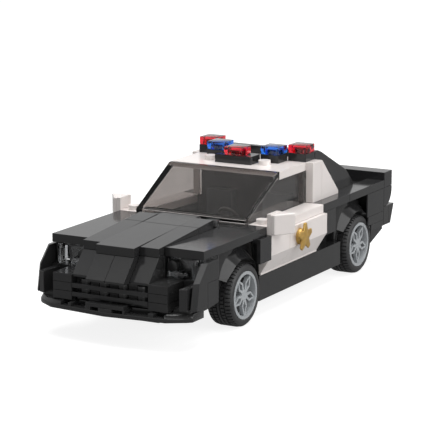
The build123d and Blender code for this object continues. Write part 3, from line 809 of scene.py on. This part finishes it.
def add_underside():
    """The tubes in the hollow of the long plate."""
    low, high = ends("base_plate")
    rows = int((high.y - low.y) / PITCH)
    section = ((0, STUD_RADIUS), (0, TUBE_RADIUS), (TUBE_HEIGHT, TUBE_RADIUS), (TUBE_HEIGHT, STUD_RADIUS),
               (0, STUD_RADIUS))
    places = [Vector((x * PITCH, low.y + row * PITCH, low.z))
              for row in range(1, rows) for x in TUBE_COLUMNS]
    tube = turn("tubes", section, places[0], (0, 0, 1), TUBE_STEPS)
    settle(add_copies("tubes", tube, places), "black_plastic")


def add_hidden_studs():
    """The studs in the gaps between the bars of the nose, and those on the cowl."""
    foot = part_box("bumper_blocks")[0][2] - SEAM
    places = [(x * MM, at(GRILLE_STATION), foot + step * LAYER) for step in GRILLE_LAYERS for x in STUD_ROW]
    add_studs("grille_studs", "black_plastic", places, height=GRILLE_STUD_HEIGHT)
    cowl_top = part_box("cowl")[1][2]
    add_studs("cowl_studs", "black_plastic", [(x * MM, at(COWL_STATION), cowl_top) for x in STUD_ROW])


def add_headlamps():
    """Clear bars and rods and a black stud in front of the clear brick under each fender."""
    low, high = ends("headlamps")
    front = low.y - HEADLAMP_RADIUS
    tall = high.z - low.z
    rod_start, rod_end = HEADLAMP_ROD
    long = rod_end - rod_start
    bar_section = ((0, 0), (0, HEADLAMP_RADIUS), (tall, HEADLAMP_RADIUS), (tall, 0))
    rod_section = ((0, 0), (0, HEADLAMP_RADIUS), (long, HEADLAMP_RADIUS), (long, 0))
    pieces = []
    for side in (1, -1):
        bar_place = (side * HEADLAMP_BAR, front, low.z)
        rod_place = (side * rod_start, front, low.z + HEADLAMP_RADIUS)
        pieces.append(turn("headlamp_bar", bar_section, bar_place, (0, 0, 1), STUD_STEPS))
        pieces.append(turn("headlamp_rod", rod_section, rod_place, (side, 0, 0), STUD_STEPS))
    lamps = join("headlamp_bars", pieces)
    bevel_all(lamps, HEADLAMP_EDGE)
    settle(lamps, "plain_clear")
    stud_x, stud_z = HEADLAMP_STUD
    places = [(side * stud_x, low.y, stud_z) for side in (1, -1)]
    add_studs("headlamp_studs", "black_plastic", places, axis=(0, -1, 0), radius=HEADLAMP_STUD_RADIUS)


def dress_nodes():
    """Gives each CAD node its finish and soft edges."""
    slots = {part["node"]: part["material_slot"] for part in frame["record"]["subparts"]}
    for name, piece in frame["nodes"].items():
        piece.data.materials.clear()
        piece.data.materials.append(finishes[slots[name]])
        if name in ROUNDED:
            soften(piece, ROUNDED[name], ROUNDED_STEPS)
        else:
            soften(piece, EDGE_RADIUS, EDGE_STEPS)


def add_camera():
    """The camera at the photograph's angle and distance."""
    data = bpy.data.cameras.new("camera")
    data.lens = LENS
    camera = bpy.data.objects.new("camera", data)
    bpy.context.scene.collection.objects.link(camera)
    flat = cos(VIEW_ELEVATION)
    back = Vector((sin(VIEW_AZIMUTH) * flat, -cos(VIEW_AZIMUTH) * flat, sin(VIEW_ELEVATION)))
    camera.location = VIEW_TARGET + back * VIEW_DISTANCE
    camera.rotation_euler = back.to_track_quat("Z", "Y").to_euler()
    data.clip_start = CLIP_NEAR
    data.clip_end = CLIP_FAR
    bpy.context.scene.camera = camera


def add_lamp(name, place, size, power):
    """A square soft lamp aimed at the object."""
    data = bpy.data.lights.new(name, "AREA")
    data.shape = "SQUARE"
    data.size = size
    data.energy = power
    lamp = bpy.data.objects.new(name, data)
    bpy.context.scene.collection.objects.link(lamp)
    lamp.location = place
    lamp.rotation_euler = (Vector(place) - VIEW_TARGET).to_track_quat("Z", "Y").to_euler()


def add_world():
    """A white surround for the camera, and dimmer for light and reflections."""
    world = bpy.data.worlds.new("studio")
    world.use_nodes = True
    network = Network(world.node_tree)
    straight, through, mirrored = network.rays("Camera", "Transmission", "Glossy")
    aim = network.node("ShaderNodeTexCoord").outputs["Generated"]
    height = network.node("ShaderNodeSeparateXYZ", inputs={"Vector": aim}).outputs["Z"]
    fade = network.stretch(height, WORLD_FADE_START, WORLD_FADE_END, WORLD_MIRRORED, 0.0)
    background = world.node_tree.nodes["Background"]
    network.feed(background.inputs["Color"], WHITE)
    network.feed(background.inputs["Strength"], (straight | through) | (mirrored * fade + WORLD_LIGHT))
    bpy.context.scene.world = world


def add_floor():
    """A pale floor that looks white and keeps a soft shadow."""
    put_down()
    bpy.ops.mesh.primitive_plane_add(size=FLOOR_SIZE, location=(0, 0, -FLOOR_DROP))
    floor = bpy.context.object
    floor.name = "floor"
    finish = Finish("floor")
    straight, through, mirrored = finish.rays("Camera", "Transmission", "Glossy")
    finish.set(Base_Color=finish.blend(mirrored, FLOOR_SEEN, FLOOR_MIRRORED))
    finish.set(Roughness=FLOOR_ROUGH, Specular_IOR_Level=0.0, Emission_Color=WHITE)
    finish.set(Emission_Strength=(straight | through) * FLOOR_GLOW_SEEN | mirrored * FLOOR_GLOW_MIRRORED)
    floor.data.materials.append(finish.material)


for corner in ("fl", "fr", "rl", "rr"):
    add_tyre(corner)
    add_painted_shade_disc(corner)
add_arches("front_arches", "fl")
add_arches("rear_arches", "rl")
add_roof_lamps()
add_badges()
add_lip()
add_hidden_studs()
add_headlamps()
add_steering_wheel()
add_underside()
dress_nodes()
add_camera()
add_world()
add_floor()
for lamp in STUDIO_LAMPS:
    add_lamp(*lamp)

bpy.context.scene.view_settings.view_transform = "Standard"
